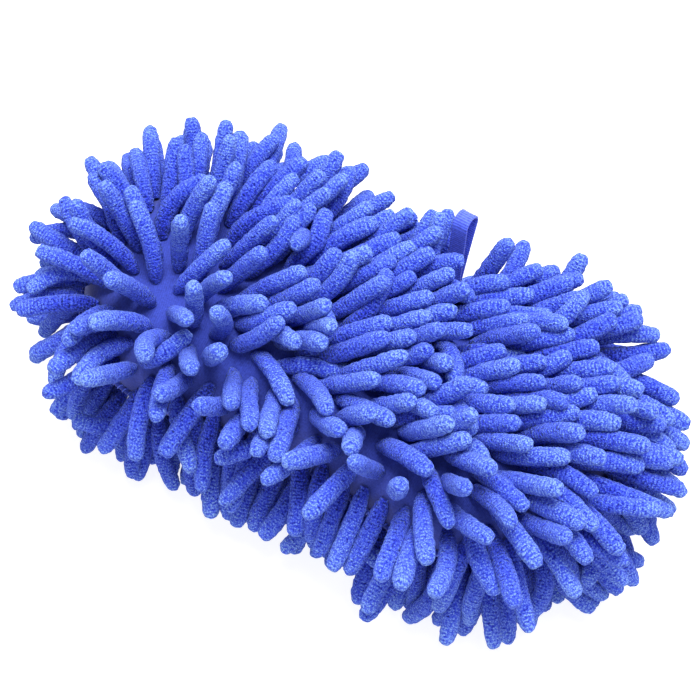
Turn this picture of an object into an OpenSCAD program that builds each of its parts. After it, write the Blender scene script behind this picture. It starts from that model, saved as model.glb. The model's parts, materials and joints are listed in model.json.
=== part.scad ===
// Chenille wash pad: a figure-8 foam block in a two-panel cloth cover,
// tufted all over with chenille yarn, with a hang loop sewn into the waist seam.
// X runs along the pad, Y across it, Z up. The origin is on the table under the middle.

/* [Foam block and cover] */
// Distance from the middle to the centre of each round end
lobe_x = 52; // [50:1:56]
// Radius of each round end, over the cover
lobe_r = 47; // [46:0.5:48]
// Half of the width at the waist, over the cover
waist_y = 41; // [40:0.5:42]
// Thickness of the pad without its pile
pad_h = 46; // [44:1:48]
// Height of the pad's underside over the table, which the lower pile holds
lift = 19; // [18.5:0.25:19.5]
// Thickness of the cover cloth
cloth_t = 1.6; // [1.2:0.1:2]
// Room between the foam block and the cloth
foam_gap = 0.3; // [0.3:0.1:0.6]

/* [Sewing] */
// Diameter of the bead of overlock thread round the seam
seam_d = 2; // [1.6:0.1:2.2]
// Number of hand stitches that close the slot where the block goes in
stitch_n = 7; // [5:1:9]
// Distance between those stitches
stitch_pitch = 4; // [3:0.5:5]

/* [Pile] */
// Length of one chenille tuft
tuft_len = 27; // [24:0.5:27.5]
// Diameter of one chenille tuft
tuft_d = 5.6; // [5:0.1:5.6]
// Diameter of the bare yarn at a tuft's root
root_d = 2.4; // [2:0.1:2.6]
// Distance between rows of tufts in the flat cloth
row_pitch = 7.9; // [7.8:0.05:7.9]
// Distance between tufts along a row
tuft_pitch = 7.9; // [7.9:0.1:9]
// Lean of the lower tufts, which the weight of the pad presses outwards
press_lean = 42; // [38:1:42]
// Lean of the upper tufts away from the middle
top_lean = 12; // [5:1:15]
// How far the tufts at the seam hang below level
droop = 15; // [5:1:20]

/* [Hang loop] */
// Distance of the loop from the middle of the waist, along the pad
loop_x = 18; // [16:0.5:20]
// Width of the tape
tape_w = 6; // [5:0.5:8]
// Thickness of the tape
tape_t = 1; // [0.8:0.1:1.2]
// Length of the folded loop outside the seam
loop_len = 35; // [32:1:36]
// Clear width inside the loop's round top
eye_w = 6.2; // [6.2:0.2:8]
// Angle at which the loop stands over level
loop_rise = 74; // [70:1:76]

/* [Hidden] */
rows = 15;
row_names = [for (side = ["upper", "lower"], k = [1 : rows]) str(side, "_pile_row_", k)];

royal_blue = [0.26, 0.33, 0.84];
cloth_blue = [0.22, 0.29, 0.78];
thread_blue = [0.34, 0.42, 0.90];
foam_cream = [0.93, 0.88, 0.72];

upper = 1;
lower = -1;
mid_z = lift + pad_h / 2;
// The pad's edge is a full round of this radius
rim_r = pad_h / 2;
// The waist is an arc that touches both round ends; its centre lies out on the Y axis
waist_r = (pow(lobe_x, 2) + pow(waist_y, 2) - pow(lobe_r, 2)) / (2 * (lobe_r - waist_y));
waist_cy = waist_y + waist_r;
// Angle about a round end's centre where its arc meets the waist's arc
join_a = 180 - atan2(waist_cy, lobe_x);

// Is the point (x, y) beside a round end, rather than beside the waist?
function by_end(x, y) = atan2(abs(y), abs(x) - lobe_x) < join_a;
// Direction straight out of the pad's edge at the point (x, y), in plan
function outward(x, y) =
    let (end = [abs(x) - lobe_x, abs(y)], waist = [-abs(x), waist_cy - abs(y)],
         d = by_end(x, y) ? end / norm(end) : waist / norm(waist))
    [x < 0 ? -d[0] : d[0], y < 0 ? -d[1] : d[1]];
// Distance of the point (x, y) beyond the pad's widest outline, negative inside it
function beyond(x, y) = by_end(x, y)
    ? norm([abs(x) - lobe_x, y]) - lobe_r
    : waist_r - norm([x, waist_cy - abs(y)]);

// The widest outline, anticlockwise, as [point, outward direction] pairs
end_steps = 22;
waist_steps = 10;
function end_arc(side) = [for (i = [0 : end_steps - 1])
    let (a = (side > 0 ? 0 : 180) + join_a * (2 * i / end_steps - 1), d = [cos(a), sin(a)])
    [[side * lobe_x, 0] + lobe_r * d, d]];
function waist_arc(side) = [for (i = [0 : waist_steps - 1])
    let (a = -side * 90 + (join_a - 90) * (1 - 2 * i / waist_steps), d = [cos(a), sin(a)])
    [[0, side * waist_cy] + waist_r * d, -d]];
outline = concat(end_arc(1), waist_arc(1), end_arc(-1), waist_arc(-1));
around = len(outline);

// The outline moved out by out and up by up
function ring(out, up) = [for (p = outline) let (q = p[0] + out * p[1]) [q[0], q[1], up]];
// Rings over half of a round rim, from angle a0 to angle a1 above level
rim_steps = 6;
function rim(r, a0, a1, n = rim_steps) = [for (i = [0 : n])
    let (a = a0 + (a1 - a0) * i / n) ring(r * cos(a) - rim_r, r * sin(a))];

// Side walls between each ring and the next; closed joins the last ring to the first
function walls(n, closed = false) = [for (k = [0 : n - (closed ? 1 : 2)], i = [0 : around - 1])
    let (j = (i + 1) % around, a = k * around, b = ((k + 1) % n) * around)
    [a + i, b + i, b + j, a + j]];
// Flat faces over ring number k, facing down and up
function foot(k) = [for (i = [0 : around - 1]) k * around + i];
function head(k) = [for (i = [around - 1 : -1 : 0]) k * around + i];
// A solid through a stack of rings, from the lowest to the highest, with flat ends
module stack(rings) {
    n = len(rings);
    polyhedron([for (r = rings) each r], concat(walls(n), [foot(0), head(n - 1)]));
}
// A closed tube through a loop of rings
module tube(rings) {
    polyhedron([for (r = rings) each r], walls(len(rings), closed = true));
}

module foam_block() color(foam_cream) {
    r = rim_r - cloth_t - foam_gap;
    translate([0, 0, mid_z])
        stack(concat(rim(r, -90, -90 / rim_steps, rim_steps - 1), rim(r, 0, 90)));
}

// One panel of the cover: down over the inner round, then up over the outer one
module panel(side) {
    translate([0, 0, mid_z]) mirror([0, 0, side > 0 ? 0 : 1])
        stack(concat(rim(rim_r - cloth_t, 90, 0), rim(rim_r, 0, 90)));
}

module upper_cover() color(cloth_blue) panel(upper);
module lower_cover() color(cloth_blue) panel(lower);

// A bead of thread along the whole seam, half sunk in the covers' edges
module seam_overlock() color(thread_blue) translate([0, 0, mid_z])
    tube([for (i = [0 : 7]) ring(seam_d / 2 * cos(-45 * i), seam_d / 2 * sin(-45 * i))]);

// Upright stitches over the seam at the near side of the waist
module closing_stitches() color(thread_blue) {
    stitch_h = 6;
    stitch_d = 0.8;
    for (i = [0 : stitch_n - 1])
        let (x = (i - (stitch_n - 1) / 2) * stitch_pitch)
            translate([x, -waist_y - stitch_d / 2, mid_z - stitch_h / 2])
                cylinder(d = stitch_d, h = stitch_h, $fn = 24);
}

// The tape leaves the seam at the far side of the waist, where the seam runs a little askew
loop_y = waist_cy - sqrt(pow(waist_r, 2) - pow(loop_x, 2));
loop_turn = asin(loop_x / waist_r);
module at_loop() {
    translate([loop_x, loop_y, mid_z]) rotate([0, 0, loop_turn]) children();
}
// The tape bends along a line just outside the seam
tape_clear = 0.3;
tail_out = 1.5;
hinge_out = tail_out + tape_clear + tape_t;
// Sewn-in ends of the tape: two layers, held between the covers' edges
module loop_tail() color(cloth_blue) at_loop()
    translate([-tape_w / 2, -cloth_t, -tape_t]) cube([tape_w, cloth_t + tail_out, 2 * tape_t]);

// The folded tape, seen along its width: a drop with a round top and a pinched foot
module drop(grow) {
    top_s = loop_len - tape_t - eye_w / 2;
    r = eye_w / 2 + grow;
    // Where the straight legs meet the round top
    foot_r = grow > 0 ? tape_t : 0;
    lean = asin((r - foot_r) / top_s);
    translate([top_s, 0]) circle(r, $fn = 64);
    polygon([foot_r * [sin(-lean), cos(lean)], foot_r * [sin(-lean), -cos(lean)],
             [top_s - r * sin(lean), -r * cos(lean)], [top_s - r * sin(lean), r * cos(lean)]]);
    if (foot_r > 0) circle(foot_r, $fn = 32);
}
module hang_loop() color(cloth_blue) at_loop()
    translate([0, hinge_out, 0]) rotate([loop_rise, 0, 0]) rotate([90, 0, 90])
        linear_extrude(tape_w, center = true) difference() {
            drop(tape_t);
            difference() {
                drop(0);
                // The legs lie together over the first part of the loop
                translate([-1, -eye_w]) square([1 + 2 * tape_t, 2 * eye_w]);
            }
        }

// One tuft along +Z: bare yarn that swells into a round-ended chenille finger
tuft_r = tuft_d / 2;
module tuft(length) {
    swell = 5;
    rotate_extrude($fn = 24) {
        polygon([[0, 0], [root_d / 2, 0], [tuft_r, swell], [tuft_r, length - tuft_r],
                 [0, length - tuft_r]]);
        translate([0, length - tuft_r]) intersection() {
            circle(tuft_r, $fn = 32);
            square(tuft_r);
        }
    }
}

// Place and lean of the tuft at (u, v) of the flat cloth, once it is wrapped over the block:
// [root point, direction], or undef past the seam allowance
seam_margin = 4.8;
root_sink = 0.6;
function wrapped(u, v, side) =
    let (over = beyond(u, v) + rim_r, n = outward(u, v), d = max(over, 0),
         a = d / rim_r * 180 / PI, r = rim_r - root_sink,
         p = [u, v] + n * (r * sin(a) - d),
         lean = side > 0 ? top_lean + a / 90 * (90 - top_lean + droop)
                         : max(press_lean, a / 90 * (90 - droop)))
    d > rim_r * PI / 2 - seam_margin ? undef
        : [[p[0], p[1], mid_z + side * r * cos(a)],
           [n[0] * sin(lean), n[1] * sin(lean), side * cos(lean)]];

// The upper pile leaves room round the hang loop, which lies down no further than the lower pile
loop_room = tape_w / 2 + tuft_d / 2 + 2;
function hits_loop(p) =
    let (dx = p[0] - loop_x, dy = p[1] - loop_y,
         aside = dx * cos(loop_turn) + dy * sin(loop_turn),
         out = dy * cos(loop_turn) - dx * sin(loop_turn))
    abs(aside) < loop_room && out > -12 && p[2] > mid_z;

// One row of tufts along X; the rows are counted from the near side to the far side
tufts_half = ceil((lobe_x + lobe_r + rim_r) / tuft_pitch);
module pile_row(side, k) color(royal_blue) {
    index = k - (rows + 1) / 2;
    shift = floor(abs(index)) % 2 / 2;
    for (i = [-tufts_half : tufts_half]) {
        place = wrapped((i + shift) * tuft_pitch, index * row_pitch, side);
        if (!is_undef(place) && !hits_loop(place[0])) stand(place[0], place[1]);
    }
}

// A tuft from its root towards to, in the room that the table leaves it
table_gap = 0.3;
module stand(root, to) {
    pressed = abs(root[2] - (lift + root_sink)) < 0.01;
    room = to[2] < 0 ? tuft_r + (root[2] - tuft_r - table_gap) / -to[2] : tuft_len;
    length = pressed ? tuft_len : min(tuft_len, room);
    if (pressed)
        // The table flattens the tips under the flat of the pad
        intersection() {
            placed(root, to) tuft(length);
            translate([root[0] - 2 * tuft_len, root[1] - 2 * tuft_len, 0])
                cube([4, 4, 2] * tuft_len);
        }
    else placed(root, to) tuft(length);
}
module placed(root, to) {
    translate(root) rotate([0, acos(to[2]), atan2(to[1], to[0])]) children();
}

foam_block();
upper_cover();
lower_cover();
seam_overlock();
closing_stitches();
loop_tail();
hang_loop();
for (k = [1 : rows]) {
    pile_row(upper, k);
    pile_row(lower, k);
}
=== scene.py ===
# %% [markdown]
# # A chenille wash pad
#
# The real thing is a figure-8 block of foam in a cloth cover, and the cloth is covered with
# hundreds of soft chenille fingers. Nearly all that shows is the pile, so most of this lesson is
# about one finger: how to shape it, how to bend some hundreds of copies so that they lie against
# each other as real ones do, and how to give them a soft, matt, looped surface.
# The frame brings the pad's CAD model, with one node for each row of fingers.

# %% Load the frame and note its size
import json
import math

import bmesh
import bpy
import numpy as np
from mathutils import Matrix, Vector
from mathutils.bvhtree import BVHTree


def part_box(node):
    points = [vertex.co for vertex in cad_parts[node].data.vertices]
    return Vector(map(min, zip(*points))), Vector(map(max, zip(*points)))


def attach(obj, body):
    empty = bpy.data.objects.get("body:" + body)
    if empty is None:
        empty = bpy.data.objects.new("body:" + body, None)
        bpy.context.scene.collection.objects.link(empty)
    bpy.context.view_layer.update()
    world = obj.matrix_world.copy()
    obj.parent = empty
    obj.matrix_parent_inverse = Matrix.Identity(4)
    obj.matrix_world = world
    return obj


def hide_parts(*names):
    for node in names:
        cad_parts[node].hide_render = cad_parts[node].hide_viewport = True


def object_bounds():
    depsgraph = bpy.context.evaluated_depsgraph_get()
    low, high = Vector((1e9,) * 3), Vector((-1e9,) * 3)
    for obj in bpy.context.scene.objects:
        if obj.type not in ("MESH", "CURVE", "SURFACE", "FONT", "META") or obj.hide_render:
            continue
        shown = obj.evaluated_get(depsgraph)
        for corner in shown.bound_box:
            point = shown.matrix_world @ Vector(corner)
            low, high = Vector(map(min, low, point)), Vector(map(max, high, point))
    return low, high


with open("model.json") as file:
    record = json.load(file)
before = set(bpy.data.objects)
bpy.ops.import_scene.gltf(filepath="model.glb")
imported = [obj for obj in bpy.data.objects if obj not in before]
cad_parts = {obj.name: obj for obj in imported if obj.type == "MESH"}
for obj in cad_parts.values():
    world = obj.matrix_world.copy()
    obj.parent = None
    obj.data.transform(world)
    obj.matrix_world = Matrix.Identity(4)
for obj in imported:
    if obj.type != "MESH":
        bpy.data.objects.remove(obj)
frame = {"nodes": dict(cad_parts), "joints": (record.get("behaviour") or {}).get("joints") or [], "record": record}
scene = bpy.context.scene
MM = 0.001
cad_low, cad_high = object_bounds()
print("CAD box in mm:", [round(v / MM, 1) for v in (*cad_low, *cad_high)])

# %% [markdown]
# Two small helpers save lines all the way down: one turns a finished bmesh into a mesh and frees
# it, and one makes an object of some data and links it, since an unlinked object isn't seen.


# %% Helpers
def mesh_from(bm, name):
    """The mesh that a bmesh has become; the bmesh is used up."""
    mesh = bpy.data.meshes.new(name)
    bm.to_mesh(mesh)
    bm.free()
    return mesh


def placed(name, data):
    """A linked object that holds the data."""
    made = bpy.data.objects.new(name, data)
    scene.collection.objects.link(made)
    return made


# %% [markdown]
# ## Camera, floor and light
#
# The pad lies on a white table under big soft lights, seen from above its near right end. A long
# lens far away would flatten it; this one is close enough to make the near end look larger.

# %% Camera
CAMERA_TURN = math.radians(30.3)
CAMERA_RISE = math.radians(57.5)
CAMERA_FAR = 0.495
LENS = 73.5
AIM = Vector((0.0, 0.0, 0.035))
AIM_RIGHT, AIM_UP = 0.0024, 0.0083


def toward_camera(turn, rise):
    """Unit vector from the pad to a camera at that turn and height."""
    level = math.cos(rise)
    return Vector((math.sin(turn) * level, -math.cos(turn) * level, math.sin(rise)))


def add_camera():
    """Makes the camera and lets the scene look through it."""
    data = bpy.data.cameras.new("camera")
    data.lens = LENS
    data.clip_start, data.clip_end = 0.01, 20.0
    camera = placed("camera", data)
    back = toward_camera(CAMERA_TURN, CAMERA_RISE)
    facing = (-back).to_track_quat("-Z", "Y")
    aim = AIM + facing @ Vector((AIM_RIGHT, AIM_UP, 0.0))
    camera.location = aim + back * CAMERA_FAR
    camera.rotation_mode = "QUATERNION"
    camera.rotation_quaternion = facing
    scene.camera = camera


add_camera()

# %% [markdown]
# The floor is a plane so large that the camera sees none of its edges; only a view from low down
# looks past its far edge into the grey world. The plane glows a little, as a light table does,
# which washes out the shadows, and it counts as stage, not as part of the pad. Three area lights
# make the soft light: a big one overhead, a weaker one from the camera's side to fill the shadows
# between the fingers, and one from behind.


# %% Floor and lights
TABLE_GLOW = 0.78
TABLE_PAINT = (0.42, 0.42, 0.42)
TABLE_HALF = 4.0
TABLE_GAP = 0.2 * MM
ROOM_GLOW = 0.62
LIGHTS_FACE = Vector((0.0, 0.0, 0.04))


def flat_paint(name, colour, rough):
    """A plain paint for the stage."""
    paint = bpy.data.materials.new(name)
    paint.use_nodes = True
    shader = paint.node_tree.nodes["Principled BSDF"]
    shader.inputs["Base Color"].default_value = (*colour, 1.0)
    shader.inputs["Roughness"].default_value = rough
    return paint


def add_floor():
    """A pale plane under the pad."""
    bm = bmesh.new()
    bmesh.ops.create_grid(bm, x_segments=1, y_segments=1, size=TABLE_HALF)
    floor = placed("floor", mesh_from(bm, "floor"))
    floor.location.z = cad_low[2] - TABLE_GAP
    paint = flat_paint("white_table", TABLE_PAINT, 0.7)
    shader = paint.node_tree.nodes["Principled BSDF"]
    shader.inputs["Emission Color"].default_value = (1.0, 1.0, 1.0, 1.0)
    shader.inputs["Emission Strength"].default_value = TABLE_GLOW
    floor.data.materials.append(paint)


def add_light(name, place, size, watts):
    """A square area light that faces the pad."""
    data = bpy.data.lights.new(name, "AREA")
    data.size = size
    data.energy = watts
    light = placed(name, data)
    light.location = place
    light.rotation_mode = "QUATERNION"
    light.rotation_quaternion = (LIGHTS_FACE - Vector(place)).to_track_quat("-Z", "Y")


add_floor()
add_light("overhead", (0.05, 0.15, 1.3), 0.7, 29.0)
add_light("fill", (0.5, -1.0, 0.9), 0.7, 4.0)
add_light("back", (-0.7, 0.9, 0.7), 0.8, 4.0)

world = bpy.data.worlds.new("studio")
scene.world = world
world.use_nodes = True
room = world.node_tree.nodes["Background"]
room.inputs["Color"].default_value = (1.0, 1.0, 1.0, 1.0)
room.inputs["Strength"].default_value = ROOM_GLOW
scene.view_settings.view_transform = "Standard"

# %% [markdown]
# ## Where each finger grows
#
# A row's CAD node is a group of straight rods, one for each finger. Merging the doubled corners of
# a copy joins each rod into one island, and an island's root is the end that is nearer the cloth.

# %% Read the rods
COVERS = ("upper_cover", "lower_cover")
ROWS = sorted(n for n in frame["nodes"] if "_pile_row_" in n)


def merged_copy(*names):
    """A bmesh of these CAD nodes with doubled corners merged."""
    bm = bmesh.new()
    for name in names:
        bm.from_mesh(frame["nodes"][name].data)
    bmesh.ops.remove_doubles(bm, verts=bm.verts, dist=1e-6)
    return bm


def islands(bm):
    """Each connected group of corners, as an array of their places."""
    seen, groups = set(), []
    for start in bm.verts:
        if start in seen:
            continue
        seen.add(start)
        group, edge = [start], [start]
        while edge:
            for link in edge.pop().link_edges:
                for corner in link.verts:
                    if corner not in seen:
                        seen.add(corner)
                        group.append(corner)
                        edge.append(corner)
        groups.append(np.array([corner.co for corner in group]))
    return groups


cloth_bm = merged_copy(*COVERS)
cloth = BVHTree.FromBMesh(cloth_bm)
cloth_bm.free()


def rod_of(points):
    """(root, direction) of a straight rod of points."""
    middle = (points.max(axis=0) + points.min(axis=0)) / 2
    along = np.linalg.svd(points - points.mean(axis=0), full_matrices=False)[2][0]
    reach = (points - middle) @ along
    ends = [middle + along * reach.min(), middle + along * reach.max()]
    gaps = [cloth.find_nearest(Vector(end))[3] for end in ends]
    root, tip = ends if gaps[0] < gaps[1] else ends[::-1]
    return root, (tip - root) / np.linalg.norm(tip - root)


rods = []
row_of = []
for name in ROWS:
    bm = merged_copy(name)
    for group in islands(bm):
        rods.append(rod_of(group))
        row_of.append(name)
    bm.free()
roots = np.array([root for root, to in rods])
ways = np.array([to for root, to in rods])
row_of = np.array(row_of)
count = len(rods)
print(count, "fingers in", len(ROWS), "rows")

# %% [markdown]
# ## How the pile lies
#
# Straight rods that stand out evenly look like a hedgehog. Real fingers are limp: they flop over
# in the direction in which the pile was last stroked, hang at the sides, bend over each other and
# come to rest where their neighbours hold them. Hair physics could do it, but a small relaxation in
# numpy is quicker and gives the same result each time. Each finger is a chain of a few points. In
# each round every chain is pulled by gravity, kept near its own shape, pushed off the cloth, the
# table and all other chains, and brought back to its length.

# %% The nap's numbers
rng = np.random.default_rng(8)
POINTS = 6
FINGER = 28.0 * MM
FAT = 3.0 * MM
LINK = (FINGER - FAT) / (POINTS - 1)
# The fingers on top were stroked away from this parting near one end
PARTING = np.array([-0.058, -0.020, 0.0])
UP = np.array([0.0, 0.0, 1.0])
# How far they lie over, and how near the parting they lie over less
LIE = math.radians(50)
CALM = 26.0 * MM
CALMEST = 0.5
NEAR_EDGE_LIFT = 0.8
# How strongly gravity turns a finger down where it starts, on the sides and over the seam
SIDE_DROOP = 0.55
SEAM_DROOP = 0.75
SEAM_COVER = 11.0 * MM
# Where the cloth's normal dips below this, a finger is under the pad
FACES_DOWN = -0.2
# Random differences between fingers, and how much wilder they are along the near edge
SWAY = 0.105
EDGE_SWAY = 2.6
SIDE_SWAY = 0.16
CURL = 0.13
BENT_SHARE, BENT_CURL = 0.14, 3.4
SWELL_RANGE = (0.92, 1.08)
LENGTH_RANGE = (0.93, 1.06)
# The box round the hang loop's foot in which fingers stand up, and how strongly
BESIDE_WIDE, BESIDE_DEEP, BESIDE_LOW = 15.0 * MM, 10.0 * MM, 4.0 * MM
BESIDE_LIFT = 0.9


def unit(vectors):
    """The same directions at length 1."""
    return vectors / np.maximum(np.linalg.norm(vectors, axis=-1, keepdims=True), 1e-9)


def cloth_normals(places):
    """Outward direction of the cloth under each place."""
    return np.array([cloth.find_nearest(Vector(place))[1] for place in places])


# %% The pad's middle and the hang loop's place
foam_low, foam_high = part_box("foam_block")
pad_mid = (foam_low[2] + foam_high[2]) / 2
flap = frame["joints"][0]
flap_at = np.array(flap["pos_m"])
flap_axis = unit(np.array(flap["axis"]))
flap_out = unit(np.cross(flap_axis, UP))
flap_out *= np.sign(flap_out[1])
loop_points = np.array([corner.co for corner in frame["nodes"]["hang_loop"].data.vertices])
tape_half = np.ptp(loop_points @ flap_axis) / 2
eye_at = np.array(next(m for m in frame["record"]["mounts"] if m["name"] == "hang_eye")["pos_m"])
stand = unit(eye_at - flap_at)
print("the hang loop's pin is at", (flap_at / MM).round(1), "mm")

# %% Which way each finger starts out
normals = cloth_normals(roots)
outward = unit(roots - UP * pad_mid)
normals *= np.sign(np.sum(normals * outward, axis=1, keepdims=True))
stroke = roots - PARTING
stroke[:, 2] = 0.0
stroke = unit(stroke - normals * np.sum(stroke * normals, axis=1, keepdims=True))
upness = np.clip(normals[:, 2:], 0.0, 1.0)
# Fingers close to the parting and along the near edge stand more upright
near_edge = np.clip(-normals[:, 1:2], 0.0, 1.0)
from_parting = np.linalg.norm((roots - PARTING)[:, :2], axis=1, keepdims=True)
lie = LIE * upness ** 0.5 * (1.0 - NEAR_EDGE_LIFT * near_edge)
lie = lie * np.clip(from_parting / CALM, CALMEST, 1.0)
start = normals * np.cos(lie) + stroke * np.sin(lie)
sideness = 1.0 - np.abs(normals[:, 2:])
start = unit(start - UP * SIDE_DROOP * sideness ** 2)
# The lowest ones of the upper panel hang over the seam and hide it
by_seam = (normals[:, 2] > 0) & (roots[:, 2] < pad_mid + SEAM_COVER)
start[by_seam] = unit(start[by_seam] - UP * SEAM_DROOP)
# Those under the pad keep the way that the CAD gives them
under = normals[:, 2] < FACES_DOWN
start[under] = ways[under]
stray = 1.0 + EDGE_SWAY * near_edge * upness
start = unit(start + rng.normal(0.0, SWAY, (count, 3)) * stray)
# Those on the sides differ in how far they hang
start = unit(start + rng.normal(0.0, SIDE_SWAY, (count, 1)) * UP * sideness)
# The flap's neighbours stand up beside it
from_flap = roots - flap_at
beside = np.abs(from_flap @ flap_axis) < BESIDE_WIDE
beside &= (from_flap @ flap_out > -BESIDE_DEEP) & (roots[:, 2] > flap_at[2] - BESIDE_LOW)
start[beside] = unit(start[beside] + UP * BESIDE_LIFT)
curl = rng.normal(0.0, CURL, (count, 3))
# One finger in seven bends sharply
curl[rng.random(count) < BENT_SHARE] *= BENT_CURL
swell = rng.uniform(*SWELL_RANGE, count)
length = rng.uniform(*LENGTH_RANGE, count)
print(int(beside.sum()), "fingers stand up beside the hang loop")

# %% [markdown]
# The hang loop needs room to swing, which real fingers would give it. Its path is a flat sector
# round its pin, so a point that strays into the sector is pushed out over it, under it or to its
# side. Which way it goes depends on where its finger grows, so that no finger crosses the path.

# %% The hang loop's path
LOOP_TIP = 7.0 * MM
LOOP_SIDE_ROOM = 1.2 * MM
FLAP_ROOM = FAT * 1.2 + 1.8 * MM
eye_reach = float(np.linalg.norm(eye_at - flap_at))
flap_reach = eye_reach + LOOP_TIP
flap_side = tape_half + FAT + LOOP_SIDE_ROOM
flap_thick = np.ptp(loop_points @ np.cross(flap_axis, stand)) / 2
flap_rest = math.atan2(stand[2], stand @ flap_out)
flap_low, flap_high = (flap_rest + math.radians(limit) for limit in flap["range_deg"])
# Each limit is a plane through the pin; these point out of the sector
OVER = flap_out * -math.sin(flap_high) + UP * math.cos(flap_high)
UNDER = flap_out * math.sin(flap_low) - UP * math.cos(flap_low)
print("the loop swings from", round(math.degrees(flap_low)), "to",
      round(math.degrees(flap_high)), "degrees above level")

# %% [markdown]
# The rounds themselves are short: a pull down, a spring back to the finger's own curl, a push
# wherever two fingers share space, and the clamps that keep cloth, loop path and table clear. The
# spring and the push make only a share of the whole correction in each round, because small steps
# settle where whole ones jitter.

# %% Relax the chains
ROUNDS = 220
# The push between fingers is softer at first, and the cloth is tested only now and then
SOFT_PUSH, FIRM_PUSH, FIRM_AFTER = 0.7, 1.0, 0.8
CLOTH_EVERY = 4
PULL = 0.10 * MM
ROOT_HOLD = 0.55
SPRING = 0.30
CURL_SHARE = 0.5
PUSH_CAP = 2 * MM
# How much of its thickness a finger keeps off the cloth, next to its root and further out
ROOT_LIFT, CLOTH_LIFT = 0.55, 0.9
FLOOR_ROOM = FAT * 1.2
floor_z = cad_low[2]


def neighbours():
    """Pairs of fingers whose roots are near enough for them to meet."""
    gap = np.linalg.norm(roots[:, None] - roots[None], axis=2)
    first, second = np.nonzero(np.triu(gap < 2 * FINGER + 2 * FAT, 1))
    return first, second


def add_at(target, index, values):
    """Adds values to the rows of target that index names, however often it names them."""
    for axis in range(3):
        target[..., axis] += np.bincount(index, values[:, axis], minlength=len(target))


def push_apart(chains, first, second, strength):
    """Moves the points of chains that press into each other."""
    moves = np.zeros((count * POINTS, 3))
    flat = chains.reshape(-1, 3)
    for i in range(1, POINTS):
        for j in range(1, POINTS):
            a, b = first * POINTS + i, second * POINTS + j
            apart = flat[a] - flat[b]
            gap = np.linalg.norm(apart, axis=1)
            room = (swell[first] + swell[second]) * FAT
            hit = gap < room
            if not hit.any():
                continue
            # Each of the two gives way by half
            push = apart[hit] / np.maximum(gap[hit], 1e-6)[:, None]
            push *= ((room - gap)[hit] * 0.5 * strength)[:, None]
            add_at(moves, a[hit], push)
            add_at(moves, b[hit], -push)
    chains += np.clip(moves.reshape(chains.shape), -PUSH_CAP, PUSH_CAP)


def keep_off_cloth(chains):
    """Lifts points that have sunk into the pad."""
    for i in range(count):
        for k in range(1, POINTS):
            near, normal, _, gap = cloth.find_nearest(Vector(chains[i, k]))
            out = np.array(chains[i, k]) - np.array(near)
            away = normal if normal.dot(near - Vector((0, 0, pad_mid))) > 0 else -normal
            inside = out @ np.array(away) < 0
            want = FAT * (ROOT_LIFT if k == 1 else CLOTH_LIFT)
            if inside or gap < want:
                chains[i, k] = np.array(near) + np.array(away) * want


def keep_off_loop(chains):
    """Clears the sector through which the hang loop swings."""
    free = chains[:, 1:]
    from_pin = free - flap_at
    aside, over, under = from_pin @ flap_axis, from_pin @ OVER, from_pin @ UNDER
    far = np.linalg.norm(from_pin - aside[..., None] * flap_axis, axis=2)
    room = FLAP_ROOM + flap_thick * np.minimum(far / flap_reach, 1.0)
    swept = (np.abs(aside) < flap_side) & (far < flap_reach + FAT)
    swept &= (over < room) & (under < room)
    # A finger gives way to the side on which it grows: over, under or beside the sector
    facing = (np.abs(from_flap @ flap_axis) < flap_side)[:, None]
    rises = swept & facing & (from_flap @ OVER > 0)[:, None]
    ducks = swept & facing & (from_flap @ UNDER > 0)[:, None] & ~rises
    sidles = swept & ~rises & ~ducks
    free += np.where(rises, room - over, 0.0)[..., None] * OVER
    free += np.where(ducks, room - under, 0.0)[..., None] * UNDER
    free += np.where(sidles, np.copysign(flap_side, aside) - aside, 0.0)[..., None] * flap_axis


def restore(chains):
    """Pulls each chain back to its own length, from the root outwards."""
    for k in range(1, POINTS):
        step = unit(chains[:, k] - chains[:, k - 1])
        chains[:, k] = chains[:, k - 1] + step * (LINK * length)[:, None]


def keep_off_floor(chains):
    """Lifts points that have sunk into the table."""
    chains[:, 1:, 2] = np.maximum(chains[:, 1:, 2], floor_z + FLOOR_ROOM)


def relax():
    """The chains' resting places."""
    link = (LINK * length)[:, None]
    chains = roots[:, None] + start[:, None] * (np.arange(POINTS)[None, :, None] * link[:, None])
    first, second = neighbours()
    for lap in range(ROUNDS):
        chains[:, 1:, 2] -= PULL
        chains[:, 1] += ROOT_HOLD * (roots + start * link - chains[:, 1])
        for k in range(2, POINTS):
            along = unit(unit(chains[:, k - 1] - chains[:, k - 2]) + curl * CURL_SHARE)
            straight = chains[:, k - 1] + along * link
            chains[:, k] += SPRING * (straight - chains[:, k])
        push_apart(chains, first, second, SOFT_PUSH if lap < ROUNDS * FIRM_AFTER else FIRM_PUSH)
        if lap % CLOTH_EVERY == 0:
            keep_off_cloth(chains)
        keep_off_loop(chains)
        keep_off_floor(chains)
        restore(chains)
    keep_off_loop(chains)
    keep_off_floor(chains)
    return chains


chains = relax()
print("fingers reach from", (chains.min(axis=(0, 1)) / MM).round(1),
      "to", (chains.max(axis=(0, 1)) / MM).round(1))

# %% [markdown]
# ## One finger
#
# A finger is chenille yarn: a thin bare core at the cloth that swells into a round-ended sausage.
# The shape repeats hundreds of times, so the cage has only a few dozen faces: a six-sided circle
# is extruded ring by ring, and a Subdivision Surface modifier rounds it later. The cage is wider
# than the finger, because subdivision pulls a six-sided ring in by a sixth.

# %% Model the finger once, standing on its root
SIDES = 6
SHRINK = (2 + math.cos(2 * math.pi / SIDES)) / 3
# Height of each ring over the root and its radius, in mm
PROFILE = ((0.0, 1.4), (1.8, 2.1), (4.0, 2.7), (7.2, 2.95), (11.2, 3.0), (15.4, 3.0),
           (19.6, 3.05), (23.6, 3.0), (26.4, 2.6), (27.8, 1.7))
TIP = 28.2


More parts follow.
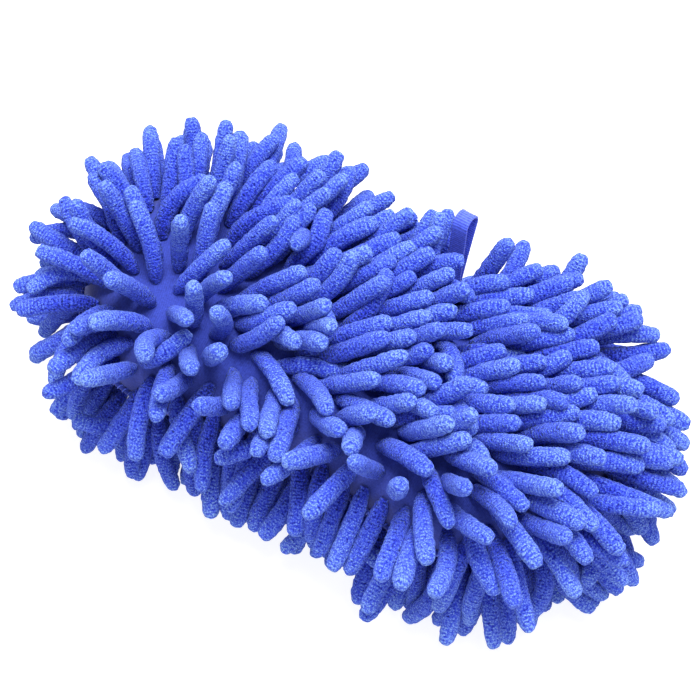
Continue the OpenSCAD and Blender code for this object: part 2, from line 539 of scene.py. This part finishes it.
def extruded(bm, edges):
    """Extrudes a ring of edges; returns the new ring's corners and its edges."""
    grown = bmesh.ops.extrude_edge_only(bm, edges=edges)["geom"]
    ring = [part for part in grown if isinstance(part, bmesh.types.BMVert)]
    return ring, [part for part in grown if isinstance(part, bmesh.types.BMEdge)
                  and all(corner in ring for corner in part.verts)]


def finger_cage():
    """The cage of one finger along +Z, with its rings in order."""
    bm = bmesh.new()
    bmesh.ops.create_circle(bm, segments=SIDES, radius=PROFILE[0][1] * MM / SHRINK)
    edges = list(bm.edges)
    for (low, thin), (high, wide) in zip(PROFILE, PROFILE[1:]):
        ring, edges = extruded(bm, edges)
        bmesh.ops.translate(bm, verts=ring, vec=(0, 0, (high - low) * MM))
        bmesh.ops.scale(bm, verts=ring, vec=(wide / thin, wide / thin, 1.0))
    lid = bmesh.ops.contextual_create(bm, geom=edges)["faces"]
    peak = bmesh.ops.poke(bm, faces=lid)["verts"][0]
    peak.co.z = TIP * MM
    bmesh.ops.recalc_face_normals(bm, faces=bm.faces)
    return mesh_from(bm, "finger_cage")


cage = finger_cage()
print("one finger has", len(cage.polygons), "faces")

# %% [markdown]
# To bend a copy, each of its rings moves to its own place along the chain and turns to face along
# it. The frame that carries a ring is passed on from ring to ring with the least twist, so the
# finger doesn't wring itself like a wet towel.


# %% Bend the finger along every chain
def centre_lines(heights):
    """Where each ring's centre lies on each chain, and the direction there."""
    spots = []
    for height in heights:
        t = np.minimum(height / (FINGER - FAT), 1.0) * (POINTS - 1)
        k = int(min(t, POINTS - 2))
        f = t - k
        p1, p2 = chains[:, k], chains[:, k + 1]
        p0 = chains[:, k - 1] if k else 2 * p1 - p2
        p3 = chains[:, k + 2] if k + 2 < POINTS else 2 * p2 - p1
        spot = 0.5 * (2 * p1 + (p2 - p0) * f + (2 * p0 - 5 * p1 + 4 * p2 - p3) * f ** 2
                      + (3 * p1 - p0 - 3 * p2 + p3) * f ** 3)
        over = max(height - (FINGER - FAT), 0.0)
        spots.append(spot + unit(p2 - p1) * over)
    spots = np.stack(spots, axis=1)
    return spots, unit(np.gradient(spots, axis=1))


def bent_fingers():
    """Every finger's corners, bent to its chain."""
    corners = np.array([corner.co for corner in cage.vertices])
    heights = np.unique(corners[:, 2].round(7))
    ring_of = np.searchsorted(heights, corners[:, 2].round(7))
    spots, along = centre_lines(heights)
    side = unit(np.cross(along[:, 0], rng.normal(size=(count, 3))))
    sides = [side]
    for k in range(1, len(heights)):
        side = unit(side - along[:, k] * np.sum(side * along[:, k], axis=1, keepdims=True))
        sides.append(side)
    sides = np.stack(sides, axis=1)
    fronts = np.cross(along, sides)
    spread = swell[:, None, None]
    return (spots[:, ring_of] + sides[:, ring_of] * corners[None, :, :1] * spread
            + fronts[:, ring_of] * corners[None, :, 1:2] * spread), corners[:, 2] / (TIP * MM)


bent, rise = bent_fingers()

# %% [markdown]
# ## Chenille
#
# Chenille yarn is a core with a dense brush of microfibre loops. Close up it is matt and speckled,
# with faint rings where the loops turn round the core. Its colour carries painted shade in the
# hollows between loops and towards each finger's root, and painted highlight on the loops' ends and
# at the fingertips, where the fibres stand out and catch light. The speckle is noise in the pad's
# own space. The rings, and the painted shade and highlight along each finger, read an attribute that
# says how far along the finger a point lies.


# %% Chenille material
def node(tree, kind, **settings):
    """A new shader node with these properties."""
    made = tree.nodes.new(kind)
    for key, value in settings.items():
        setattr(made, key, value)
    return made


def new_paint(name):
    """A new paint with its node tree, its shader and the pad's own space to read patterns in."""
    paint = bpy.data.materials.new(name)
    paint.use_nodes = True
    tree = paint.node_tree
    place = node(tree, "ShaderNodeTexCoord").outputs["Object"]
    return paint, tree, tree.nodes["Principled BSDF"], place


def attribute(tree, name):
    """A number that the piece's mesh carries at each point."""
    return node(tree, "ShaderNodeAttribute", attribute_name=name).outputs["Fac"]


def colour_and_relief(tree, colour, height, strength, depth):
    """Gives the shader its colour and a bump of this strength and depth."""
    shader = tree.nodes["Principled BSDF"]
    bump = node(tree, "ShaderNodeBump")
    bump.inputs["Strength"].default_value = strength
    bump.inputs["Distance"].default_value = depth
    tree.links.new(height, bump.inputs["Height"])
    tree.links.new(bump.outputs["Normal"], shader.inputs["Normal"])
    tree.links.new(colour, shader.inputs["Base Color"])


def noise(tree, place, scale, detail=2.0, rough=0.5):
    """Noise read at a place."""
    made = node(tree, "ShaderNodeTexNoise")
    made.inputs["Scale"].default_value = scale
    made.inputs["Detail"].default_value = detail
    made.inputs["Roughness"].default_value = rough
    tree.links.new(place, made.inputs["Vector"])
    return made.outputs["Fac"]


def maths(tree, operation, first, second=0.5, third=None):
    """One sum on sockets or numbers."""
    made = node(tree, "ShaderNodeMath", operation=operation)
    for socket, value in zip(made.inputs, (first, second, third)):
        if isinstance(value, (int, float)):
            socket.default_value = value
        elif value is not None:
            tree.links.new(value, socket)
    return made.outputs[0]


def ramp(tree, value, *stops):
    """A colour ramp of (position, colour) stops."""
    made = node(tree, "ShaderNodeValToRGB")
    elements = made.color_ramp.elements
    while len(elements) < len(stops):
        elements.new(0.5)
    for element, (position, colour) in zip(elements, stops):
        element.position = position
        element.color = (*colour, 1.0)
    tree.links.new(value, made.inputs[0])
    return made.outputs["Color"]


# Loops to the metre, how far they are pushed off a regular pattern, and how deep they are
LOOPS_PER_METRE = 1550.0
LOOP_WOBBLE = 1.2 * MM
LOOP_DEPTH = 0.9 * MM
# The yarn's turns along a finger, as an angle in radians
YARN_TURNS = 150.0
# The blues run from the painted shade of the deepest hollows, through the dye's own blue, to the painted highlight
# on loop ends and tips
BLUES_FROM_PAINTED_SHADE_TO_HIGHLIGHT = ((0.08, (0.004, 0.006, 0.11)), (0.34, (0.023, 0.040, 0.56)),
               (0.60, (0.074, 0.132, 0.68)), (0.86, (0.25, 0.41, 0.84)))


def loop_creases(tree, place):
    """Distance from the middle of the nearest loop of yarn; the loops lie unevenly."""
    fuzz = node(tree, "ShaderNodeTexNoise")
    fuzz.inputs["Scale"].default_value = 700.0
    wobble = node(tree, "ShaderNodeVectorMath", operation="SCALE")
    wobble.inputs["Scale"].default_value = LOOP_WOBBLE
    warped = node(tree, "ShaderNodeVectorMath", operation="ADD")
    loops = node(tree, "ShaderNodeTexVoronoi")
    loops.inputs["Scale"].default_value = LOOPS_PER_METRE
    tree.links.new(place, fuzz.inputs["Vector"])
    tree.links.new(fuzz.outputs["Color"], wobble.inputs[0])
    tree.links.new(place, warped.inputs[0])
    tree.links.new(wobble.outputs["Vector"], warped.inputs[1])
    tree.links.new(warped.outputs["Vector"], loops.inputs["Vector"])
    return loops.outputs["Distance"]


def chenille():
    """Matt looped microfibre in royal blue, with painted shade in its hollows and at the roots and painted
    highlight at the tips.
    """
    paint, tree, shader, place = new_paint("chenille")
    along, tone = attribute(tree, "along"), attribute(tree, "tone")
    creases = loop_creases(tree, place)
    speckle = noise(tree, place, 2500.0, 2.0, 0.6)
    wander = maths(tree, "MULTIPLY", noise(tree, place, 260.0), 9.0)
    rings = maths(tree, "SINE", maths(tree, "MULTIPLY_ADD", along, YARN_TURNS, wander))
    height = maths(tree, "MULTIPLY_ADD", rings, 0.10, speckle)
    height = maths(tree, "MULTIPLY_ADD", creases, -0.9, height)
    # The colour goes from painted shade in the hollows and at the roots up to painted highlight on the loops and
    # at the tips, and each finger has its own tone
    shade = maths(tree, "MULTIPLY_ADD", height, 0.75, maths(tree, "MULTIPLY", tone, 0.14))
    shade = maths(tree, "MULTIPLY_ADD", along, 0.34, shade)
    colour = ramp(tree, maths(tree, "ADD", shade, 0.16), *BLUES_FROM_PAINTED_SHADE_TO_HIGHLIGHT)
    colour_and_relief(tree, colour, height, 0.8, LOOP_DEPTH)
    shader.inputs["Roughness"].default_value = 0.95
    shader.inputs["Specular IOR Level"].default_value = 0.05
    shader.inputs["Sheen Weight"].default_value = 0.38
    shader.inputs["Sheen Roughness"].default_value = 0.5
    shader.inputs["Sheen Tint"].default_value = (0.36, 0.52, 1.0, 1.0)
    return paint


CHENILLE = chenille()

# %% [markdown]
# Each row becomes one piece: copies of the cage, one for each finger, with the bent corners put in.
# Subdivision rounds it, and a Displace modifier with a fine cloud texture makes the nubby outline
# that bump alone can't give.

# %% Make the rows
NUB_SIZE = 1.6 * MM
NUB_HEIGHT = 0.75 * MM
clouds = bpy.data.textures.new("nubs", "CLOUDS")
clouds.noise_scale = NUB_SIZE
clouds.noise_depth = 1


def carry(mesh, name, values):
    """Stores one number for each of a mesh's corners."""
    mesh.attributes.new(name, "FLOAT", "POINT").data.foreach_set("value", values.astype(np.float32))


def make_row(name):
    """A row of bent fingers that stands for one CAD row."""
    members = np.nonzero(row_of == name)[0]
    bm = bmesh.new()
    for _ in members:
        bm.from_mesh(cage)
    mesh = mesh_from(bm, name + "_fingers")
    mesh.vertices.foreach_set("co", bent[members].astype(np.float32).ravel())
    carry(mesh, "along", np.tile(rise, len(members)))
    carry(mesh, "tone", np.repeat(tone_of[members], len(rise)))
    mesh.shade_smooth()
    mesh.materials.append(CHENILLE)
    row = placed(mesh.name, mesh)
    rounding = row.modifiers.new("rounding", "SUBSURF")
    rounding.levels = rounding.render_levels = 2
    nubs = row.modifiers.new("nubs", "DISPLACE")
    nubs.texture = clouds
    nubs.texture_coords = "LOCAL"
    nubs.strength = NUB_HEIGHT
    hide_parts(name)
    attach(row, "pad")


tone_of = rng.uniform(0.0, 1.0, count)
for name in ROWS:
    make_row(name)
print(len(ROWS), "rows of", len(cage.polygons), "faces a finger, before rounding")

# %% [markdown]
# ## The cover
#
# Smooth knitted cloth shows only where the pile parts. Each tuft's root pulls the cloth down onto
# the foam, and between roots it swells a little, like a quilt. A cloth simulation makes that: the
# block's own shape is remeshed evenly, held still at the roots and blown up with a little
# pressure. The swollen skin is then cut along the seam into the two panels that it is sewn from.


# %% Knit material
def knit():
    """Fine jersey: tiny upright loops in columns, its blue painted dark as the shade between the fingers."""
    paint, tree, shader, place = new_paint("cover_knit_darkened_as_shade")
    weave = node(tree, "ShaderNodeTexWave", wave_type="BANDS", bands_direction="DIAGONAL")
    weave.inputs["Scale"].default_value = 760.0
    weave.inputs["Distortion"].default_value = 1.5
    weave.inputs["Detail"].default_value = 1.0
    tree.links.new(place, weave.inputs["Vector"])
    loops = noise(tree, place, 1400.0, 2.0)
    height = maths(tree, "MULTIPLY_ADD", weave.outputs["Fac"], 0.25, loops)
    # The cloth's blue is painted darker than its own colour, as painted shade where it lies between the fingers
    colour = ramp(tree, height, (0.2, (0.010, 0.018, 0.17)), (1.0, (0.032, 0.060, 0.42)))
    colour_and_relief(tree, colour, height, 0.4, 0.3 * MM)
    shader.inputs["Roughness"].default_value = 0.85
    shader.inputs["Specular IOR Level"].default_value = 0.25
    shader.inputs["Sheen Weight"].default_value = 0.3
    return paint


KNIT_DARKENED_AS_SHADE = knit()

# %% Swell the skin between the roots
GRID = 3.2 * MM
CLOTH_FRAMES = 14
CLOTH_CAP = 2.4 * MM
CLOTH_PRESSURE = 4.0
CLOTH_THICK = 1.0 * MM
SKIN_GAP = 1.3 * MM
# Half the height of the band that the seam holds still, in grid steps
SEAM_BAND = 0.6


def remeshed_block(name):
    """A copy of the foam block with an even mesh; its remesh isn't applied yet."""
    block = placed(name, mesh_from(merged_copy("foam_block"), name))
    remesh = block.modifiers.new("even", "REMESH")
    remesh.mode = "VOXEL"
    remesh.voxel_size = GRID
    return block


def skin_start():
    """The foam block's shape, grown to lie just over the block."""
    skin = remeshed_block("skin")
    grown = skin.modifiers.new("grown", "DISPLACE")
    grown.strength = SKIN_GAP
    grown.mid_level = 0.0
    bake_modifiers(skin)
    return skin


def bake_modifiers(piece):
    """Replaces a piece's mesh with what its modifiers make of it now."""
    shaped = piece.evaluated_get(bpy.context.evaluated_depsgraph_get())
    made = bpy.data.meshes.new_from_object(shaped)
    piece.modifiers.clear()
    old, piece.data = piece.data, made
    bpy.data.meshes.remove(old)


def places_of(mesh):
    """A mesh's corners as an array."""
    flat = np.empty(len(mesh.vertices) * 3, np.float32)
    mesh.vertices.foreach_get("co", flat)
    return flat.reshape(-1, 3).astype(float)


def swollen_skin():
    """The skin after the cloth simulation, held at the roots and capped."""
    skin = skin_start()
    before = places_of(skin.data)
    held = skin.vertex_groups.new(name="roots")
    at_roots = [int(np.argmin(np.sum((before - root) ** 2, axis=1))) for root in roots]
    at_seam = np.nonzero(np.abs(before[:, 2] - pad_mid) < GRID * SEAM_BAND)[0].tolist()
    held.add(at_roots + at_seam, 1.0, "REPLACE")
    cloth_sim = skin.modifiers.new("cloth", "CLOTH")
    cloth_sim.settings.vertex_group_mass = held.name
    cloth_sim.settings.use_pressure = True
    cloth_sim.settings.uniform_pressure_force = CLOTH_PRESSURE
    cloth_sim.settings.effector_weights.gravity = 0.0
    cloth_sim.point_cache.frame_end = CLOTH_FRAMES
    for frame_number in range(1, CLOTH_FRAMES + 1):
        scene.frame_set(frame_number)
    bake_modifiers(skin)
    moved = places_of(skin.data) - before
    far = np.linalg.norm(moved, axis=1, keepdims=True)
    capped = before + moved * np.minimum(1.0, CLOTH_CAP / np.maximum(far, 1e-9))
    skin.data.vertices.foreach_set("co", capped.astype(np.float32).ravel())
    print("the cloth swelled by up to", round(float(far.max()) / MM, 2), "mm")
    return skin


def panel_of(skin, name, up):
    """The half of the skin over or under the seam, as one sewn panel."""
    bm = bmesh.new()
    bm.from_mesh(skin.data)
    bmesh.ops.bisect_plane(bm, geom=[*bm.verts, *bm.edges, *bm.faces], plane_co=(0, 0, pad_mid),
                           plane_no=UP, clear_inner=up, clear_outer=not up)
    panel = placed(name, mesh_from(bm, name))
    panel.data.shade_smooth()
    thick = panel.modifiers.new("thickness", "SOLIDIFY")
    thick.thickness = CLOTH_THICK
    thick.offset = -1.0
    rounding = panel.modifiers.new("rounding", "SUBSURF")
    rounding.levels = rounding.render_levels = 1
    return panel


def finish_piece(piece, paint, slot, body, *stands_for):
    """Gives a piece its paint, its body and the CAD nodes that it stands for; slot is not used."""
    piece.data.materials.clear()
    piece.data.materials.append(paint)
    if stands_for:
        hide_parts(*stands_for)
    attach(piece, body)


skin = swollen_skin()
for cover, is_up in (("upper_cover", True), ("lower_cover", False)):
    panel = panel_of(skin, cover + "_cloth", is_up)
    finish_piece(panel, KNIT_DARKENED_AS_SHADE, "cover_cloth", "pad", cover)
    print(panel.name, "has", len(panel.data.polygons), "faces")
bpy.data.objects.remove(skin)

# %% [markdown]
# ## The foam block
#
# The block inside is cut from a slab of open-cell foam. Nothing of it shows, but a part has to be
# whole when somebody takes it apart. It is the CAD block again, remeshed so that its knife-cut
# corners round off, with small pores in its material.


# %% Foam
def foam_paint():
    """Cream open-cell foam: round pores of two sizes."""
    paint, tree, shader, place = new_paint("open_cell_foam")
    pores = node(tree, "ShaderNodeTexVoronoi")
    pores.inputs["Scale"].default_value = 900.0
    tree.links.new(place, pores.inputs["Vector"])
    height = maths(tree, "MULTIPLY_ADD", noise(tree, place, 300.0), 0.3, pores.outputs["Distance"])
    colour = ramp(tree, height, (0.1, (0.42, 0.33, 0.16)), (0.5, (0.86, 0.78, 0.54)))
    colour_and_relief(tree, colour, height, 1.0, 0.5 * MM)
    shader.inputs["Roughness"].default_value = 1.0
    return paint


foam = remeshed_block("foam_core")
ease = foam.modifiers.new("ease", "SMOOTH")
ease.factor = 0.5
ease.iterations = 3
bake_modifiers(foam)
foam.data.shade_smooth()
finish_piece(foam, foam_paint(), "foam", "pad", "foam_block")
print("the foam core has", len(foam.data.polygons), "faces")

# %% [markdown]
# ## The seam
#
# The two panels meet in a seam round the widest part. An overlock machine winds thread round the
# raw edges as it sews, so on the pad the seam is a small bead of cloth inside a coil of thread.
# Both follow the CAD bead's middle, which rays find: one from outside hits the bead's outer face,
# one from the pad's middle its inner face. The points are then spaced evenly along the seam.

# %% Find the seam's middle line
BEAD_THICK = 1.7 * MM
SEAM_RAYS = 720
SEAM_POINTS = 360
RAY_START = 0.3
bead_bm = merged_copy("seam_overlock")
bead = BVHTree.FromBMesh(bead_bm)
bead_bm.free()
pad_middle = Vector((0.0, 0.0, pad_mid))


def bead_middle(turn):
    """The bead's middle in one direction from the pad's middle."""
    way = Vector((math.cos(turn), math.sin(turn), 0.0))
    outer = bead.ray_cast(pad_middle + way * RAY_START, -way)[0]
    inner = bead.ray_cast(pad_middle, way)[0]
    return np.array((outer + inner) / 2)


def evenly(points, number):
    """That many points at equal steps along a closed line of points."""
    closed = np.vstack([points, points[:1]])
    walked = np.concatenate([[0.0], np.cumsum(np.linalg.norm(np.diff(closed, axis=0), axis=1))])
    steps = np.linspace(0.0, walked[-1], number, endpoint=False)
    spots = np.stack([np.interp(steps, walked, closed[:, axis]) for axis in range(3)], axis=1)
    return spots, walked[-1]


turns = np.linspace(0, 2 * math.pi, SEAM_RAYS, False)
seam_line, seam_length = evenly(np.array([bead_middle(turn) for turn in turns]), SEAM_POINTS)
print("the seam is", round(seam_length / MM), "mm long")

# %% [markdown]
# Thread is twisted from plies, and thin as it is, slanting lines show on it close up. A slanting
# wave in the pad's own space makes them. On a thread half a millimetre thick nobody sees that it
# doesn't follow each turn, so the thread needs no map of its own. The thread itself is a curve
# with a round bevel, which is the lightest way to sweep a circle along many turns.


# %% Thread and the overlocked seam
def thread_paint():
    """Polyester sewing thread with its ply."""
    paint, tree, shader, place = new_paint("sewing_thread")
    ply = node(tree, "ShaderNodeTexWave", bands_direction="DIAGONAL")
    ply.inputs["Scale"].default_value = 900.0
    tree.links.new(place, ply.inputs["Vector"])
    height = maths(tree, "MULTIPLY_ADD", noise(tree, place, 2500.0), 0.4, ply.outputs["Fac"])
    colour = ramp(tree, height, (0.1, (0.035, 0.06, 0.5)), (1.0, (0.12, 0.2, 0.85)))
    colour_and_relief(tree, colour, height, 1.0, 0.1 * MM)
    shader.inputs["Roughness"].default_value = 0.45
    return paint


def thread_along(name, runs, thick, closed=False):
    """Round thread along runs of points."""
    data = bpy.data.curves.new(name, "CURVE")
    data.dimensions = "3D"
    data.bevel_depth = thick / 2
    data.bevel_resolution = 1
    data.use_fill_caps = not closed
    for run in runs:
        line = data.splines.new("POLY")
        line.points.add(len(run) - 1)
        line.points.foreach_set("co", np.hstack([run, np.ones((len(run), 1))]).ravel())
        line.use_cyclic_u = closed
        line.use_smooth = True
    return placed(name, data)


def coil(line, radius, turns, per_turn=8):
    """A coil of points round a closed line that lies level."""
    spots, _ = evenly(line, turns * per_turn)
    along = unit(np.roll(spots, -1, axis=0) - np.roll(spots, 1, axis=0))
    out = np.cross(along, UP)
    angle = np.arange(len(spots))[:, None] * 2 * math.pi / per_turn
    return spots + radius * (out * np.cos(angle) + UP * np.sin(angle))


THREAD = thread_paint()
OVERLOCK_THREAD = 0.5 * MM
OVERLOCK_PITCH = 2.2 * MM
edge_roll = thread_along("seam_edge", [seam_line], BEAD_THICK, closed=True)
finish_piece(edge_roll, KNIT_DARKENED_AS_SHADE, "cover_cloth", "pad", "seam_overlock")
winding = coil(seam_line, BEAD_THICK / 2 + OVERLOCK_THREAD * 0.3,
               round(seam_length / OVERLOCK_PITCH))
overlock = thread_along("overlock_thread", [winding], OVERLOCK_THREAD, closed=True)
finish_piece(overlock, THREAD, "thread", "pad", "seam_overlock")

# %% [markdown]
# The block goes in through a slot in the seam, which is then closed by hand. Each hand stitch is a
# short thread that dips into both panels and bows out over the bead. The CAD has an upright rod for
# each; the bow is a half wave between the rod's ends.

# %% Closing stitches
HAND_THREAD = 0.8 * MM
STITCH_BOW = 1.5 * MM
STITCH_SINK = 1.0 * MM
STITCH_SLANT = 0.8 * MM


def hand_stitches():
    """One bowed run of points for each CAD stitch."""
    bm = merged_copy("closing_stitches")
    runs = []
    for group in islands(bm):
        middle = (group.max(axis=0) + group.min(axis=0)) / 2
        half = np.ptp(group[:, 2]) / 2
        t = np.linspace(-1.0, 1.0, 9)
        out = -STITCH_BOW * np.cos(t * math.pi / 2) + STITCH_SINK
        runs.append(middle + np.stack([t * STITCH_SLANT / 2, out, t * half], axis=1))
    bm.free()
    return runs


stitches = thread_along("closing_stitch_thread", hand_stitches(), HAND_THREAD)
finish_piece(stitches, THREAD, "thread", "pad", "closing_stitches")
print(len(stitches.data.splines), "stitches close the slot")

# %% [markdown]
# ## The hang loop
#
# The loop is a flat woven tape, folded over and sewn in at the seam. Such a tape has crosswise ribs
# and a thin round selvedge along each edge. Its section, with both selvedges, is extruded step by
# step along the folded path: up one leg, round the eye, and down the other leg. Each step is one
# transform of the new ring, and the tape turns a little about its own length on the way up.

# %% Woven tape
TAPE_TWIST = math.radians(11)
TAPE_HALF_THICK = 0.38 * MM
SELVEDGE = 0.58 * MM
RIB_PITCH = 0.85 * MM
WARP_PITCH = 0.55 * MM
fold_side = np.cross(flap_axis, stand)


def tape_section():
    """(across, thickness) points of the tape's section, anticlockwise."""
    top = [(tape_half, 0.0), (tape_half - 0.25 * SELVEDGE, 0.75 * SELVEDGE),
           (tape_half - SELVEDGE, SELVEDGE), (tape_half - 1.9 * SELVEDGE, TAPE_HALF_THICK),
           (0.0, TAPE_HALF_THICK)]
    top += [(-across, thick) for across, thick in top[-2::-1]]
    return top + [(across, -thick) for across, thick in top[-2:0:-1]]


def tape_matrix(spot, ahead, width):
    """Places a section: its across along width, its thickness square to both."""
    ahead = Vector(ahead).normalized()
    width = (Vector(width) - ahead * ahead.dot(Vector(width))).normalized()
    thick = ahead.cross(width)
    return Matrix.Translation(Vector(spot)) @ Matrix((width, thick, ahead)).transposed().to_4x4()


def tape(name, spots, widths):
    """A woven tape along spots; widths are the directions across it."""
    bm = bmesh.new()
    run_layer = bm.verts.layers.float.new("tape_run")
    across_layer = bm.verts.layers.float.new("tape_across")
    aheads = np.gradient(np.array(spots), axis=0)
    places = [tape_matrix(*facts) for facts in zip(spots, aheads, widths)]
    section = tape_section()
    ring = [bm.verts.new((across, thick, 0.0)) for across, thick in section]
    for corner, (across, _) in zip(ring, section):
        corner[across_layer] = across
    edges = [bm.edges.new(pair) for pair in zip(ring, ring[1:] + ring[:1])]
    bmesh.ops.transform(bm, matrix=places[0], verts=ring)
    ends = [list(edges)]
    walked = 0.0
    for k in range(1, len(places)):
        ring, edges = extruded(bm, edges)
        bmesh.ops.transform(bm, matrix=places[k] @ places[k - 1].inverted(), verts=ring)
        walked += float(np.linalg.norm(np.array(spots[k]) - np.array(spots[k - 1])))
        for corner in ring:
            corner[run_layer] = walked
    for rim in (ends[0], edges):
        bmesh.ops.contextual_create(bm, geom=rim)
    bmesh.ops.recalc_face_normals(bm, faces=bm.faces)
    made = placed(name, mesh_from(bm, name))
    made.data.shade_smooth()
    rounding = made.modifiers.new("rounding", "SUBSURF")
    rounding.levels = rounding.render_levels = 2
    return made


def tape_paint():
    """Ribbed woven tape: ribs across it, fine warp threads along it."""
    paint, tree, shader, place = new_paint("woven_tape")
    run, across = attribute(tree, "tape_run"), attribute(tree, "tape_across")
    ribs = maths(tree, "SINE", maths(tree, "MULTIPLY", run, 2 * math.pi / RIB_PITCH))
    warp = maths(tree, "SINE", maths(tree, "MULTIPLY", across, 2 * math.pi / WARP_PITCH))
    height = maths(tree, "MULTIPLY_ADD", warp, 0.35, ribs)
    height = maths(tree, "MULTIPLY_ADD", height, 0.3, noise(tree, place, 900.0))
    colour = ramp(tree, height, (0.1, (0.02, 0.035, 0.38)), (0.9, (0.085, 0.15, 0.86)))
    colour_and_relief(tree, colour, height, 0.6, 0.2 * MM)
    shader.inputs["Roughness"].default_value = 0.7
    shader.inputs["Sheen Weight"].default_value = 0.2
    return paint


TAPE = tape_paint()

# %% [markdown]
# Two tapes come from the same function. The loop goes up one leg, round the eye and down the other,
# and swings on its body. Its ends, which are sewn in between the panels, stay on the pad, so
# the joint's line lies just where the tape leaves the seam.

# %% The folded loop and its sewn-in ends
LEG_GAP = 0.62 * MM
BAR_UP = 3.0 * MM
EYE_INSET = 0.5 * MM
TAIL_FROM, TAIL_TO = -1.4 * MM, 2.6 * MM
PIN_OUT = 2.8 * MM
TAIL_SPREAD = 1.3
eye_round = (np.ptp(loop_points @ fold_side) / 2) - EYE_INSET


def loop_path():
    """(height along the loop, distance from its middle) up one leg, round the eye and back."""
    lean = math.asin((eye_round - LEG_GAP) / (eye_reach - BAR_UP))
    shoulder = (eye_reach - eye_round * math.sin(lean), eye_round * math.cos(lean))
    leg = [(0.0, LEG_GAP), (BAR_UP / 2, LEG_GAP)]
    leg += [(BAR_UP + (shoulder[0] - BAR_UP) * t, LEG_GAP + (shoulder[1] - LEG_GAP) * t)
            for t in np.linspace(0.0, 1.0, 8)[:-1]]
    sweep = np.linspace(math.pi / 2 + lean, 0.0, 9)
    leg += [(eye_reach + eye_round * math.cos(a), eye_round * math.sin(a)) for a in sweep]
    return leg + [(high, -side) for high, side in leg[-2::-1]]


def turned(high):
    """Directions across the tape and across its fold, at that height up the twisted loop."""
    angle = TAPE_TWIST * high / eye_reach
    return (flap_axis * math.cos(angle) + fold_side * math.sin(angle),
            fold_side * math.cos(angle) - flap_axis * math.sin(angle))


folded = loop_path()
loop_spots = [flap_at + stand * high + turned(high)[1] * side for high, side in folded]
hang_tape = tape("hang_loop_tape", loop_spots, [turned(high)[0] for high, side in folded])
finish_piece(hang_tape, TAPE, "tape", "loop", "hang_loop")

tail_outs = np.linspace(TAIL_FROM, TAIL_TO, 5)
for number, side in enumerate((TAPE_HALF_THICK, -TAPE_HALF_THICK), start=1):
    tail_spots = [flap_at + flap_out * (out - PIN_OUT) + UP * side * TAIL_SPREAD
                  for out in tail_outs]
    tail = tape(f"loop_tail_tape_{number}", tail_spots, [flap_axis] * len(tail_spots))
    finish_piece(tail, TAPE, "tape", "pad", "loop_tail")

# %% [markdown]
# A bar tack holds the two legs together just over the fold: a tight zigzag of thread across the
# tape. It goes round both legs, so it is one coil, flattened.

# %% Bar tack
TACK_TURNS = 9
TACK_THREAD = 0.45 * MM
TACK_HALF_HIGH = 0.7 * MM
TACK_CLEAR = 0.12 * MM
TACK_SHARE = 0.8


def tack_run():
    """A flattened coil of thread round both legs of the tape."""
    angle = np.linspace(0.0, 2 * math.pi * TACK_TURNS, TACK_TURNS * 10 + 1)
    across = np.linspace(-TACK_SHARE, TACK_SHARE, len(angle)) * tape_half
    thick = LEG_GAP + TAPE_HALF_THICK + TACK_CLEAR
    wide, deep = turned(BAR_UP)
    high = BAR_UP + TACK_HALF_HIGH * np.cos(angle)
    return (flap_at + high[:, None] * stand + across[:, None] * wide
            + (thick * np.sin(angle))[:, None] * deep)


tack = thread_along("bar_tack_thread", [tack_run()], TACK_THREAD)
finish_piece(tack, THREAD, "thread", "loop")
